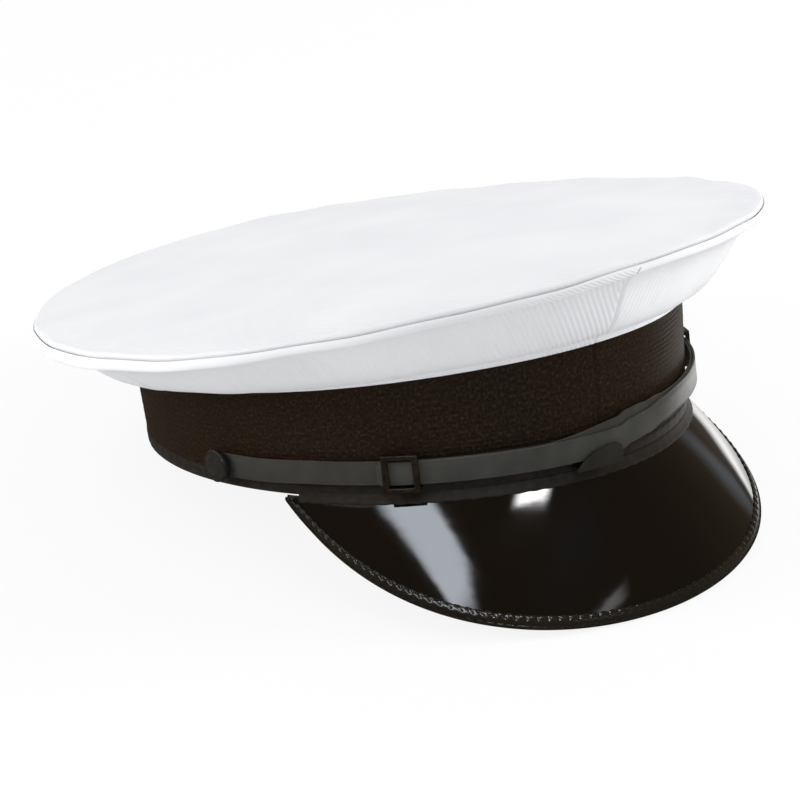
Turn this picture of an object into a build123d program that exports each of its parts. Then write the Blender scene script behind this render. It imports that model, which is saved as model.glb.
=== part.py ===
from build123d import *
import math
import os

# Peaked cap, in millimetres. +Z is up, the visor points along -Y and the wearer's right is -X.
# The origin is the centre of the head opening, in the plane of the band's lower edge.
# "turn" is an angle in degrees round the cap from the front, positive to the wearer's left.

# --- band -------------------------------------------------------------------------------------
BAND_HALF_WIDTH = 86.3      # outside of the mohair at its lower edge
BAND_HALF_LENGTH = 106.0
BAND_FRONT_HEIGHT = 42.4
BAND_BACK_HEIGHT = 21.5
BAND_LEAN = 3.1             # outward lean of the wall, degrees
FRONT_ARC_END = 28.0        # wall direction where the front arc meets the corner arc
CORNER_ARC_END = 70.0       # wall direction where the corner arc meets the side arc
CORNER_RADIUS = 100.0
SEAM_TURN = -4.0            # the front seams sit slightly round to the wearer's right
MOHAIR = 1.2
STIFFENER = 2.0
BINDING_HEIGHT = 5.0
BINDING_LIP = 0.8
SWEATBAND_OUT = -4.9        # offset from the outside of the band
SWEATBAND_IN = -6.0
COLLAR_RISE = 8.0

# --- cover ------------------------------------------------------------------------------------
RIM_HALF_WIDTH = 126.0
RIM_HALF_LENGTH = 130.0
RIM_CENTRE_Y = -0.2
RIM_CENTRE_Z = 61.1
RIM_TILT = 5.1              # the front of the crown is higher than the back, degrees
RIM_DROOP = 5.1             # how far the sides of the rim hang below the fore-and-aft line
RIM_LIST = 1.4              # how far the wearer's left side sits above the middle, as worn in
CLOTH = 1.2
HEM_HEIGHT = 2.6
HEM_GAP = 0.3
ROLL_OUT = 0.9
ROLL_DROP = 4.6
PANEL_HOLLOW = 0.4          # how far each side panel bows inwards a third of the way down
PANEL_BULGE = 3.2           # how far it bows outwards two thirds of the way down
HOOP_RADIUS = 0.9
HOOP_PLACE = (-7.2, -2.75)  # middle of the hoop, outwards of and above the rim

# --- visor ------------------------------------------------------------------------------------
VISOR_CORNER = 72.15        # turn of each corner
VISOR_REACH = 19.3          # how far the tip stands out past the band
VISOR_DROP = 46.7
VISOR_HALF_WIDTH = 98.2
VISOR_REACH_POWER = 0.89
VISOR_DROP_POWER = 0.79
VISOR_BULGE = 0.02          # rise of the curved section over its chord, per length of chord
VISOR_LAYERS = {"visor_shell": 1.3, "visor_core": 0.9, "visor_lining": 0.6}
VISOR_END = 87.0            # last section's place in the edge formula
EDGE_BINDING = 4.0
EDGE_LEATHER = 0.55

# --- chin strap -------------------------------------------------------------------------------
STRAP_WIDTH = 8.2
STRAP_THICKNESS = 1.0
STRAP_INNER_OFFSET = 2.3
STRAP_OUTER_OFFSET = 3.35
STRAP_HEIGHTS = [           # wall direction, and height of the straps' middle line there
    (-80, 8.5), (-68, 9.3), (0, 9.3), (4, 10.6), (11, 11.4), (18, 12.8), (28, 13.7), (70, 13.7),
    (84, 8.5)]
STRAP_LEVEL = 84.0          # beyond this wall direction a strap runs level to its button
INNER_BUMP = 3.2            # the inner strap rides up this much over the front
INNER_BUMP_MIDDLE = 3.0
INNER_BUMP_HALF = 27.0
STRAP_STEP = 4.0            # degrees between the sections of a strap
STRAP_INNER_END = 70.5      # wall direction where each strap's free end lies
STRAP_OUTER_END = -55.5
SLIDE_TURNS = {"left": 65.0, "right": -50.9}
SLIDE_LENGTH = 11.7
SLIDE_BAR = 1.9
SLIDE_WALL = 1.6
SLIDE_BACK = (1.65, 2.15)
SLIDE_FRONT = (4.6, 5.8)
SLIDE_CLEAR = 0.65
TAB_OFFSETS = (4.75, 5.75)
TAB_TURN = -7.8             # wall direction at the middle of the tab
TAB_WIDTH = 18.0
TAB_TOP = 8.8
TAB_FOOT = 2.2
TAB_LEG = 1.0               # thickness of the foot that turns back under the straps
TAB_SLOPE = 6.0             # how far the sloping side falls
TAB_CORNER = 2.4
BUTTON_Y = -8.5
BUTTON_Z = 8.5
BUTTON_RADIUS = 5.6
BUTTON_EDGE = 2.6
BUTTON_DOME = 1.2
SHANK_RADIUS = 1.4
HOLE_RADIUS = 1.75
EYELET_RADIUS = 2.4
EYELET_FLANGE = 3.3
WASHER_RADIUS = 4.0
BUTTON_BACK = -3.4          # offset of the washer's face behind the stiffener
RUN_GAP = 0.3

BIG = 400.0


# --- plan shape of the band: arcs that follow an ellipse ---------------------------------------
def unit(direction):
    """Outward unit vector of the wall that faces this direction, in degrees from the front."""
    return Vector(math.sin(math.radians(direction)), -math.cos(math.radians(direction)), 0)


def solve_arc_radii():
    """Front and side radii that make the arcs end at the band's half width and half length."""
    first, last = unit(FRONT_ARC_END), unit(CORNER_ARC_END)
    wide = BAND_HALF_WIDTH - CORNER_RADIUS * (last.X - first.X)
    long = BAND_HALF_LENGTH - CORNER_RADIUS * (last.Y - first.Y)
    a, b, c, d = first.X, 1 - last.X, 1 + first.Y, -last.Y
    determinant = a * d - b * c
    return (wide * d - b * long) / determinant, (a * long - c * wide) / determinant


FRONT_RADIUS, SIDE_RADIUS = solve_arc_radii()
FRONT_CENTRE = Vector(0, FRONT_RADIUS - BAND_HALF_LENGTH, 0)
CORNER_CENTRE = FRONT_CENTRE + unit(FRONT_ARC_END) * (FRONT_RADIUS - CORNER_RADIUS)
SIDE_CENTRE = CORNER_CENTRE + unit(CORNER_ARC_END) * (CORNER_RADIUS - SIDE_RADIUS)


def wall_point(direction, offset=0.0, z=0.0):
    """Point on the band's plan outline, moved outwards by offset."""
    direction = (direction + 180) % 360 - 180
    folded = abs(direction)
    quarter = min(folded, 180 - folded)
    if quarter <= FRONT_ARC_END:
        centre, radius = FRONT_CENTRE, FRONT_RADIUS
    elif quarter <= CORNER_ARC_END:
        centre, radius = CORNER_CENTRE, CORNER_RADIUS
    else:
        centre, radius = SIDE_CENTRE, SIDE_RADIUS
    point = centre + unit(quarter) * (radius + offset)
    x = point.X if direction >= 0 else -point.X
    y = point.Y if folded <= 90 else -point.Y
    return Vector(x, y, z)


def wall_arcs(start, end, offset):
    """Edges that follow the outline from one wall direction to another."""
    joins = [FRONT_ARC_END, CORNER_ARC_END, 180 - CORNER_ARC_END, 180 - FRONT_ARC_END]
    joins = sorted([-j for j in joins] + joins + [360 - j for j in joins])
    stops = [start] + [j for j in joins if start < j < end] + [end]
    return [
        ThreePointArc(wall_point(a, offset), wall_point((a + b) / 2, offset), wall_point(b, offset))
        for a, b in zip(stops, stops[1:])
    ]


def outline(offset):
    return make_face(wall_arcs(-FRONT_ARC_END, 360 - FRONT_ARC_END, offset))


def lean_at(z):
    return z * math.tan(math.radians(BAND_LEAN))


def leaning_solid(offset, low, high):
    """Solid inside the leaning wall between two heights."""
    base = Pos(0, 0, low) * outline(offset + lean_at(low))
    return extrude(base, high - low, taper=-BAND_LEAN)


def leaning_ring(inner, outer, low, high):
    return leaning_solid(outer, low, high) - leaning_solid(inner, low, high)


def band_top(y):
    """Height of the sloping seam between band and cover."""
    middle = (BAND_FRONT_HEIGHT + BAND_BACK_HEIGHT) / 2
    return middle - (BAND_FRONT_HEIGHT - BAND_BACK_HEIGHT) / 2 * y / BAND_HALF_LENGTH


def below_seam(rise=0.0):
    """Everything under the sloping seam plane, moved up by rise."""
    slope = math.degrees(math.atan((BAND_BACK_HEIGHT - BAND_FRONT_HEIGHT) / 2 / BAND_HALF_LENGTH))
    block = Pos(0, 0, -BIG / 2) * Box(BIG, BIG, BIG)
    return Pos(0, 0, band_top(0) + rise) * Rot(slope, 0, 0) * block


# --- band parts -------------------------------------------------------------------------------
def across(radius, side, start, end, y=BUTTON_Y, z=BUTTON_Z):
    """Round bar along X at a button, between two offsets from the side of the band."""
    low, high = sorted([side * (BAND_HALF_WIDTH + start), side * (BAND_HALF_WIDTH + end)])
    return Pos((low + high) / 2, y, z) * Rot(0, 90, 0) * Cylinder(radius, high - low)


def button_holes(radius):
    return across(radius, -1, -20, 20) + across(radius, 1, -20, 20)


def mohair_band():
    ring = leaning_ring(-MOHAIR, 0, BINDING_HEIGHT + RUN_GAP, 60)
    return (ring & below_seam()) - button_holes(EYELET_RADIUS)


def band_stiffener():
    ring = leaning_ring(-MOHAIR - STIFFENER, -MOHAIR, BINDING_LIP, 60)
    return (ring & below_seam(-0.5)) - button_holes(EYELET_RADIUS)


def base_binding():
    leaf = leaning_ring(-MOHAIR, 0, 0, BINDING_HEIGHT)
    lip = leaning_ring(-MOHAIR - STIFFENER, -MOHAIR, 0, BINDING_LIP)
    return leaf + lip


def crown_collar():
    """Buckram collar that stands above the stiffener inside the cover."""
    ring = leaning_ring(-MOHAIR - STIFFENER, -MOHAIR - 0.8, 10, 70)
    return (ring & below_seam(COLLAR_RISE)) - below_seam(-0.4)


def sweatband():
    return leaning_ring(SWEATBAND_IN, SWEATBAND_OUT, 1.6, 60) & below_seam(-5)


def sweatband_reed():
    return leaning_ring(SWEATBAND_IN - 0.2, -MOHAIR - STIFFENER - 0.1, 0, 1.5)


def plate_on_wall(direction, width, inner, outer, low, high):
    """Curved upright plate on the front or back arc, centred on a wall direction."""
    half = math.degrees(width / 2 / FRONT_RADIUS)
    return extrude(wall_sector(direction - half, direction + half, inner, outer, low), high - low)


def wall_sector(start, end, inner, outer, z):
    far = wall_arcs(start, end, outer)
    near = wall_arcs(start, end, inner)
    sides = [Line(wall_point(a, inner), wall_point(a, outer)) for a in (start, end)]
    return Pos(0, 0, z) * make_face(far + near + sides)


def sweatband_tape():
    """Cover over the seam where the sweatband's ends meet at the back."""
    return plate_on_wall(180, 12, SWEATBAND_IN - 0.9, SWEATBAND_IN - 0.1, 2, 15)


def front_stay():
    """Spring strip that holds the front of the crown up."""
    return plate_on_wall(0, 22, -3.2, -2.2, 38.5, 64)


def stay_pocket():
    """Cloth pocket sewn to the stiffener that holds the foot of the stay."""
    return plate_on_wall(0, 32, -2.0, -1.3, 38.5, 50)


def eyelet(side):
    tube = across(EYELET_RADIUS, side, BUTTON_BACK + 0.1, 1.15)
    flange = across(EYELET_FLANGE, side, 0.75, 1.15)
    return tube + flange - across(HOLE_RADIUS, side, -20, 20)


def strap_rest_tab():
    """Tongue in front of the strap, rounded at the top, whose foot turns back under the straps."""
    half, crown = TAB_WIDTH / 2, (TAB_WIDTH / 2 - TAB_CORNER, TAB_TOP)
    slope_start = (-half, TAB_TOP - TAB_SLOPE)
    slope_middle = (-half / 3, TAB_TOP - TAB_SLOPE / 4)
    bend = TAB_CORNER * math.sin(math.radians(45))
    corner_middle = (crown[0] + bend, TAB_TOP - TAB_CORNER + bend)
    face = make_face([
        Line((-half, TAB_FOOT), slope_start),
        ThreePointArc(slope_start, slope_middle, crown),
        ThreePointArc(crown, corner_middle, (half, TAB_TOP - TAB_CORNER)),
        Line((half, TAB_TOP - TAB_CORNER), (half, TAB_FOOT)),
        Line((half, TAB_FOOT), (-half, TAB_FOOT)),
    ])
    middle = wall_point(TAB_TURN, TAB_OFFSETS[0])
    upright = Pos(middle.X, middle.Y, 0) * Rot(0, 0, TAB_TURN) * Rot(90, 0, 0)
    plate = plate_on_wall(TAB_TURN, TAB_WIDTH + 4, *TAB_OFFSETS, TAB_FOOT, TAB_TOP + 1)
    leg = plate_on_wall(TAB_TURN, TAB_WIDTH - 2, lean_at(TAB_FOOT + TAB_LEG), TAB_OFFSETS[0] + 0.5,
                        TAB_FOOT, TAB_FOOT + TAB_LEG)
    return (plate & (upright * extrude(face, 20, both=True))) + leg


# --- visor ------------------------------------------------------------------------------------
def visor_edge(place):
    """Point on the visor's edge; place runs from -90 at one corner to 90 at the other."""
    angle, corner = math.radians(place), math.radians(VISOR_CORNER)
    corner_x = (BAND_HALF_WIDTH + 1) * math.sin(corner)
    corner_y = -(BAND_HALF_LENGTH + 1) * math.cos(corner)
    widening = (VISOR_HALF_WIDTH - corner_x) / 2 * math.sin(2 * angle)
    reach = VISOR_REACH + BAND_HALF_LENGTH + corner_y
    return Vector(
        corner_x * math.sin(angle) + widening,
        corner_y - reach * math.cos(angle) ** VISOR_REACH_POWER,
        -VISOR_DROP * math.cos(angle) ** VISOR_DROP_POWER,
    )


def wall_direction(turn):
    """Direction the wall faces at a turn round the ellipse."""
    angle = math.radians(turn)
    return math.degrees(math.atan2(
        BAND_HALF_LENGTH * math.sin(angle), BAND_HALF_WIDTH * math.cos(angle)))


class BowedSection:
    """A bowed strip of the visor in the upright plane through its root and its edge."""

    def __init__(self, place):
        self.root = wall_point(wall_direction(VISOR_CORNER * place / 90), 0.2, -0.1)
        edge = visor_edge(place)
        level = Vector(edge.X - self.root.X, edge.Y - self.root.Y, 0)
        self.outward = level.normalized()
        run, fall = level.length, edge.Z - self.root.Z
        self.chord = math.hypot(run, fall)
        rise = VISOR_BULGE * self.chord
        self.radius = self.chord ** 2 / (8 * rise) + rise / 2
        self.half_angle = math.asin(self.chord / 2 / self.radius)
        steep = math.atan2(-fall, run)
        self.mid_angle = math.pi / 2 - steep
        depth = self.radius - rise
        self.centre_s = run / 2 - depth * math.cos(self.mid_angle)
        self.centre_z = fall / 2 - depth * math.sin(self.mid_angle)
        self.length = 2 * self.half_angle * self.radius

    def point(self, along, depth):
        """Point a distance along the outer face from the root, and a depth below that face."""
        angle = self.mid_angle + self.half_angle - along / self.radius
        reach = self.radius - depth
        s = self.centre_s + reach * math.cos(angle)
        z = self.centre_z + reach * math.sin(angle)
        return self.root + self.outward * s + Vector(0, 0, z)

    def layer(self, top, bottom):
        end = self.length - 0.6
        corners = [(0, top), (end / 2, top), (end, top), (end, bottom), (end / 2, bottom), (0, bottom)]
        p = [self.point(*corner) for corner in corners]
        edges = [ThreePointArc(p[0], p[1], p[2]), Line(p[2], p[3]),
                 ThreePointArc(p[3], p[4], p[5]), Line(p[5], p[0])]
        return Wire(edges)

    def binding(self):
        total = sum(VISOR_LAYERS.values())
        start = self.length - min(EDGE_BINDING, 0.55 * self.length)
        end, gap, leather = self.length, 0.15, EDGE_LEATHER
        outline_points = [
            (start, -leather), (end, -leather), (end + leather, total / 2 - 0.5),
            (end + leather, total / 2 + 0.5), (end, total + leather), (start, total + leather),
            (start, total + gap), (end - 0.3, total + gap), (end - 0.3, -gap), (start, -gap)]
        return Wire.make_polygon([self.point(*corner) for corner in outline_points], close=True)


VISOR_PLACES = [-VISOR_END, -82, -74, -62, -48, -32, -16, 0, 16, 32, 48, 62, 74, 82, VISOR_END]


def visor_layer(name):
    names = list(VISOR_LAYERS)
    top = sum(VISOR_LAYERS[n] for n in names[:names.index(name)])
    bottom = top + VISOR_LAYERS[name]
    return Solid.make_loft([BowedSection(place).layer(top, bottom) for place in VISOR_PLACES])


def visor_edge_binding():
    return Solid.make_loft([BowedSection(place).binding() for place in VISOR_PLACES])


# --- cover ------------------------------------------------------------------------------------
def rim_point(turn):
    angle, tilt = math.radians(turn), math.radians(RIM_TILT)
    return Vector(
        RIM_HALF_WIDTH * math.sin(angle),
        RIM_CENTRE_Y - RIM_HALF_LENGTH * math.cos(angle) * math.cos(tilt),
        RIM_CENTRE_Z + RIM_HALF_LENGTH * math.cos(angle) * math.sin(tilt)
        - RIM_DROOP * math.sin(angle) ** 2 + RIM_LIST * math.sin(angle),
    )


class CoverSection:
    """Upright plane through the rim and the foot of the cover at one turn."""

    def __init__(self, turn):
        self.rim = rim_point(turn)
        foot = wall_point(wall_direction(turn))
        height = band_top(foot.Y) + HEM_GAP + HEM_HEIGHT
        foot = wall_point(wall_direction(turn), lean_at(height) - 0.2, height)
        level = Vector(self.rim.X - foot.X, self.rim.Y - foot.Y, 0)
        self.outward = level.normalized()
        self.foot = (-level.length, foot.Z - self.rim.Z)

    def point(self, s, z):
        return self.rim + self.outward * s + Vector(0, 0, z)

    def panel(self):
        """Cloth that wraps the rim in a small roll and runs down to the foot."""
        roll_end = (0.2, -ROLL_DROP)
        run, fall = self.foot[0] - roll_end[0], self.foot[1] - roll_end[1]
        length = math.hypot(run, fall)
        inward = (fall / length, -run / length)

        def on_panel(share, amount):
            """Point a share of the way down the panel, moved inwards."""
            s = roll_end[0] + run * share + inward[0] * amount
            return self.point(s, roll_end[1] + fall * share + inward[1] * amount)

        def face(depth):
            places = [(0, 0), (1 / 3, PANEL_HOLLOW), (2 / 3, -PANEL_BULGE), (1, 0)]
            return [on_panel(share, bow + depth) for share, bow in places]

        outer, inner = face(0), face(CLOTH)
        roll_middle = -(0.95 + ROLL_DROP) / 2
        outside = [self.point(0.3, -0.95), self.point(ROLL_OUT, roll_middle), outer[0]]
        inside = [self.point(-0.9, -1.4), self.point(ROLL_OUT - CLOTH, roll_middle), inner[0]]
        edges = [
            ThreePointArc(*outside),
            Spline(outer),
            Line(outer[-1], inner[-1]),
            Spline(inner[::-1]),
            ThreePointArc(inside[2], inside[1], inside[0]),
            Line(inside[0], outside[0]),
        ]
        return Wire(edges)

    def closed(self, corners):
        return Wire.make_polygon([self.point(*corner) for corner in corners], close=True)

    def welt(self):
        return self.closed([(-1.0, -0.7), (0.4, -0.8), (1.0, 0.1), (0.4, 0.9), (-1.0, 0.7)])

    def hoop(self, radius):
        plane = Plane(self.point(*HOOP_PLACE), x_dir=self.outward,
                      z_dir=self.outward.cross(Vector(0, 0, 1)))
        return Wire.make_circle(radius, plane)


def cover_loft(start, end, count, section):
    """Loft a cover section from one turn to another."""
    turns = [start + (end - start) * i / count for i in range(count + 1)]
    return Solid.make_loft([section(CoverSection(turn)) for turn in turns])


def quarter(start):
    return cover_loft(start, start + 90, 8, CoverSection.panel)


def joined_lofts(stops, section):
    """One solid made of lofts that meet face to face at the stops."""
    pieces = [cover_loft(start, end, 7, section) for start, end in zip(stops, stops[1:])]
    return pieces[0].fuse(*pieces[1:])


def rim_welt():
    return joined_lofts([0, 90, 180, 270, 360], CoverSection.welt)


def grommet_hoop():
    """Spring hoop inside the rim roll, open at the back."""
    return joined_lofts([-179, -90, 0, 90, 179], lambda section: section.hoop(HOOP_RADIUS))


def grommet_ferrule():
    """Sleeve that joins the ends of the hoop at the back."""
    sleeve = cover_loft(174, 186, 3, lambda section: section.hoop(HOOP_RADIUS + 0.45))
    return sleeve - cover_loft(173, 187, 3, lambda section: section.hoop(HOOP_RADIUS + 0.18))


def crown_top():
    """Top panel: an oval cut from a cloth sheet that is bent down at both sides."""
    bend = RIM_HALF_WIDTH ** 2 / (2 * RIM_DROOP)
    slab = Cylinder(bend, BIG) - Cylinder(bend - CLOTH, BIG)
    slab = slab & (Pos(0, bend, 0) * Box(BIG, 60, BIG))
    slab = Pos(0, 0, -bend) * Rot(90, 0, 0) * slab
    list_angle = math.degrees(math.atan(RIM_LIST / RIM_HALF_WIDTH))
    slab = Pos(0, RIM_CENTRE_Y, RIM_CENTRE_Z) * Rot(-RIM_TILT, 0, 0) * Rot(0, -list_angle, 0) * slab
    oval = Ellipse(RIM_HALF_WIDTH - 1.1, (RIM_HALF_LENGTH - 1.1) * math.cos(math.radians(RIM_TILT)))
    return slab & (Pos(0, RIM_CENTRE_Y, 0) * extrude(oval, 120))


def cover_hem():
    """Stitched hem of the cover, resting on the top edge of the band."""
    ring = leaning_ring(-MOHAIR + 0.1, 0.5, 10, 70)
    return (ring & below_seam(HEM_GAP + HEM_HEIGHT - 0.2)) - below_seam(HEM_GAP)


# --- chin strap -------------------------------------------------------------------------------
def eased(low, high, share):
    return low + (high - low) * share * share * (3 - 2 * share)


def strap_height(direction):
    """Height of the straps' middle line at a wall direction."""
    for (start, low), (end, high) in zip(STRAP_HEIGHTS, STRAP_HEIGHTS[1:]):
        if direction <= end:
            return eased(low, high, (direction - start) / (end - start))
    return STRAP_HEIGHTS[-1][1]


def inner_height(direction):
    """Height of the inner strap, which rides up over the front."""
    away = min(abs(direction - INNER_BUMP_MIDDLE) / INNER_BUMP_HALF, 1)
    return strap_height(direction) + eased(INNER_BUMP, 0, away)


def strap(side, offset, free_end, height):
    """Strap from the button on one side, round the front, to its free end on the other."""
    far = offset + STRAP_THICKNESS
    start, end = sorted([side * STRAP_LEVEL, free_end])
    count = round((end - start) / STRAP_STEP)

    def section(direction):
        low, high = height(direction) - STRAP_WIDTH / 2, height(direction) + STRAP_WIDTH / 2
        corners = [(offset, low), (far, low), (far, high), (offset, high)]
        return Wire.make_polygon([wall_point(direction, *corner) for corner in corners], close=True)

    body = Solid.make_loft([section(start + (end - start) * i / count) for i in range(count + 1)])
    button = 90 + math.degrees(BUTTON_Y / (SIDE_RADIUS + offset))
    near, last = sorted([side * STRAP_LEVEL, side * button])
    level = extrude(wall_sector(near, last, offset, far, BUTTON_Z - STRAP_WIDTH / 2), STRAP_WIDTH)
    ring = extrude(outline(far) - outline(offset), BUTTON_Z + STRAP_WIDTH)
    rounded_end = ring & across(STRAP_WIDTH / 2, side, -20, 20)
    return body + (level + rounded_end - across(HOLE_RADIUS, side, -20, 20))


def slide(turn):
    """Frame that holds both straps: two bars in front, one plate behind."""
    centre, half, passage_half = strap_height(turn), SLIDE_LENGTH / 2, STRAP_WIDTH / 2 + SLIDE_CLEAR

    def block(half_length, inner, outer, half_height):
        reach = math.degrees(half_length / CORNER_RADIUS)
        sector = wall_sector(turn - reach, turn + reach, inner, outer, centre - half_height)
        return extrude(sector, 2 * half_height)

    frame = block(half, SLIDE_BACK[0], SLIDE_FRONT[1], passage_half + SLIDE_WALL)
    passage = block(half + 1, SLIDE_BACK[1], SLIDE_FRONT[0], passage_half)
    window = block(half - SLIDE_BAR, SLIDE_FRONT[0] - 0.1, SLIDE_FRONT[1] + 1, passage_half)
    return frame - passage - window


def button_start(side):
    """Offset of the back of a button: just clear of the strap under it."""
    offset = STRAP_INNER_OFFSET if side < 0 else STRAP_OUTER_OFFSET
    return offset + STRAP_THICKNESS + 0.4


def button_cap(side):
    """Disc with a rounded edge and a slightly domed face, turned about its axis."""
    back = BAND_HALF_WIDTH + button_start(side)
    edge, top = back + BUTTON_EDGE, back + BUTTON_EDGE + BUTTON_DOME
    shoulder = BUTTON_RADIUS - BUTTON_EDGE / 4
    ball = (shoulder ** 2 + BUTTON_DOME ** 2) / (2 * BUTTON_DOME)
    half_angle = math.asin(shoulder / ball) / 2
    crest = (top - ball * (1 - math.cos(half_angle)), ball * math.sin(half_angle))
    profile = [
        Line((back, 0), (back, shoulder)),
        ThreePointArc((back, shoulder), ((back + edge) / 2, BUTTON_RADIUS), (edge, shoulder)),
        ThreePointArc((edge, shoulder), crest, (top, 0)),
        Line((top, 0), (back, 0)),
    ]
    cap = Pos(0, BUTTON_Y, BUTTON_Z) * revolve(make_face(profile), Axis.X)
    return cap if side > 0 else mirror(cap, about=Plane.YZ)


def button_shank(side):
    return across(SHANK_RADIUS, side, BUTTON_BACK, button_start(side))


def button_washer(side):
    return across(WASHER_RADIUS, side, BUTTON_BACK - 0.6, BUTTON_BACK)


# --- the set of parts -------------------------------------------------------------------------
def all_parts():
    parts = {
        "band_stiffener": band_stiffener(),
        "mohair_band": mohair_band(),
        "base_binding": base_binding(),
        "crown_collar": crown_collar(),
        "sweatband": sweatband(),
        "sweatband_reed": sweatband_reed(),
        "sweatband_tape": sweatband_tape(),
        "front_stay": front_stay(),
        "stay_pocket": stay_pocket(),
        "strap_rest_tab": strap_rest_tab(),
        "visor_edge_binding": visor_edge_binding(),
        "crown_top": crown_top(),
        "quarter_front_left": quarter(SEAM_TURN),
        "quarter_back_left": quarter(SEAM_TURN + 90),
        "quarter_back_right": quarter(SEAM_TURN + 180),
        "quarter_front_right": quarter(SEAM_TURN + 270),
        "rim_welt": rim_welt(),
        "cover_hem": cover_hem(),
        "grommet_hoop": grommet_hoop(),
        "grommet_ferrule": grommet_ferrule(),
        "strap_inner": strap(-1, STRAP_INNER_OFFSET, STRAP_INNER_END, inner_height),
        "strap_outer": strap(1, STRAP_OUTER_OFFSET, STRAP_OUTER_END, strap_height),
    }
    for label, turn in SLIDE_TURNS.items():
        parts[f"slide_{label}"] = slide(turn)
    for name in VISOR_LAYERS:
        parts[name] = visor_layer(name)
    for label, side in (("right", -1), ("left", 1)):
        parts[f"eyelet_{label}"] = eyelet(side)
        parts[f"button_{label}_cap"] = button_cap(side)
        parts[f"button_{label}_shank"] = button_shank(side)
        parts[f"button_{label}_washer"] = button_washer(side)
    return parts


os.makedirs("parts", exist_ok=True)
for name, shape in all_parts().items():
    export_step(shape, f"parts/{name}.step")
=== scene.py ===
import math
from functools import partial

import bmesh
import bpy
import numpy as np
from mathutils import Matrix, Vector
from mathutils.geometry import tessellate_polygon


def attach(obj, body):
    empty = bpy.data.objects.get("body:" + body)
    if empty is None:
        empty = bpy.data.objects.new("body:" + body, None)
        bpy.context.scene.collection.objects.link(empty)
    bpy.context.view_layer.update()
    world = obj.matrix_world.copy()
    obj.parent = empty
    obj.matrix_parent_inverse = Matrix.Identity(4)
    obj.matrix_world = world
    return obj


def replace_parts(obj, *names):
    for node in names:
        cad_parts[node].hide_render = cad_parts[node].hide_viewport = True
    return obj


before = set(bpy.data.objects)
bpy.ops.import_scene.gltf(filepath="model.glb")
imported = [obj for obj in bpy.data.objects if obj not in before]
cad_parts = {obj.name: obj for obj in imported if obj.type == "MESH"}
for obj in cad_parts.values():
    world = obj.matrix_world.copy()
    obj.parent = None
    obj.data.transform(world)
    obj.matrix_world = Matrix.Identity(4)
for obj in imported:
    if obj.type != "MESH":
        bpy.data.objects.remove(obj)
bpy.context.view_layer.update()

# Lengths of the cap are millimetres: +Z up, the visor along -Y, the wearer's right at -X.
# "turn" is an angle in degrees round the cap from the front, positive to the wearer's left.
MM = 0.001
rng = np.random.default_rng(7)

# --- the part's own dimensions ---
BAND_HALF_WIDTH, BAND_HALF_LENGTH = 86.3, 106.0
BAND_FRONT_HEIGHT, BAND_BACK_HEIGHT, BAND_LEAN = 42.4, 21.5, 3.1
FRONT_ARC_END, CORNER_ARC_END, CORNER_RADIUS = 28.0, 70.0, 100.0
MOHAIR, BINDING_HEIGHT = 1.2, 5.0
SWEATBAND_IN, SWEATBAND_LOW, SWEATBAND_BELOW_TOP, SWEATBAND_STITCH = -6.0, 1.6, 5.0, 3.0
REED_WIDTH, REED_HEIGHT, REED_PLACE = 2.3, 1.45, (-4.65, 0.76)
TAPE_HALF_WIDTH, TAPE_LOW, TAPE_HIGH, TAPE_PINCH = 6.0, 2.2, 15.0, 8.6
POCKET_HALF_WIDTH, POCKET_LOW, POCKET_HIGH, POCKET_BACK, POCKET_FRONT = 16.0, 38.5, 50.0, -2.0, -1.45
RIM_HALF_WIDTH, RIM_HALF_LENGTH, RIM_CENTRE_Y, RIM_CENTRE_Z = 126.0, 130.0, -0.2, 61.1
RIM_TILT, RIM_DROOP, RIM_LIST, CLOTH = 5.1, 5.1, 1.4, 1.2
ROLL_OUT, ROLL_DROP, PANEL_HOLLOW, PANEL_BULGE = 0.9, 4.6, 0.4, 3.2
HEM_HEIGHT, HEM_GAP = 2.6, 0.3
VISOR_CORNER, VISOR_REACH, VISOR_DROP, VISOR_HALF_WIDTH = 72.15, 19.3, 46.7, 98.2
VISOR_REACH_POWER, VISOR_DROP_POWER, VISOR_BULGE = 0.89, 0.79, 0.02
SHELL, CORE, LINING, EDGE_BINDING = 1.3, 0.9, 0.6, 4.0
STRAP_WIDTH, STRAP_THICKNESS, STRAP_INNER_OFFSET, STRAP_OUTER_OFFSET = 8.2, 1.0, 2.3, 3.35
STRAP_HEIGHTS = [(-80, 8.5), (-68, 9.3), (0, 9.3), (4, 10.6), (11, 11.4), (18, 12.8), (28, 13.7), (70, 13.7),
                 (84, 8.5)]
INNER_BUMP, INNER_BUMP_MIDDLE, INNER_BUMP_HALF = 3.2, 3.0, 27.0
STRAP_INNER_END, STRAP_OUTER_END = 70.5, -55.5
BUTTON_Y, BUTTON_Z, BUTTON_RADIUS, BUTTON_EDGE, BUTTON_DOME = -8.5, 8.5, 5.6, 2.6, 1.2


def smooth(x):
    """Eased step from 0 to 1."""
    x = np.clip(x, 0, 1)
    return x * x * (3 - 2 * x)


def bump_at(x, centre, width):
    return np.exp(-(((x - centre) / width) ** 2))


# --- plan shape of the band ---
def unit(direction):
    """Outward level unit vector of the wall that faces this direction, in degrees from the front."""
    a = np.radians(direction)
    return np.stack([np.sin(a), -np.cos(a)], -1)


def solve_arc_radii():
    """Front and side radii that make the arcs end at the band's half width and half length."""
    first, last = unit(FRONT_ARC_END), unit(CORNER_ARC_END)
    wide = BAND_HALF_WIDTH - CORNER_RADIUS * (last[0] - first[0])
    long = BAND_HALF_LENGTH - CORNER_RADIUS * (last[1] - first[1])
    return np.linalg.solve([[first[0], 1 - last[0]], [1 + first[1], -last[1]]], [wide, long])


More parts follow.
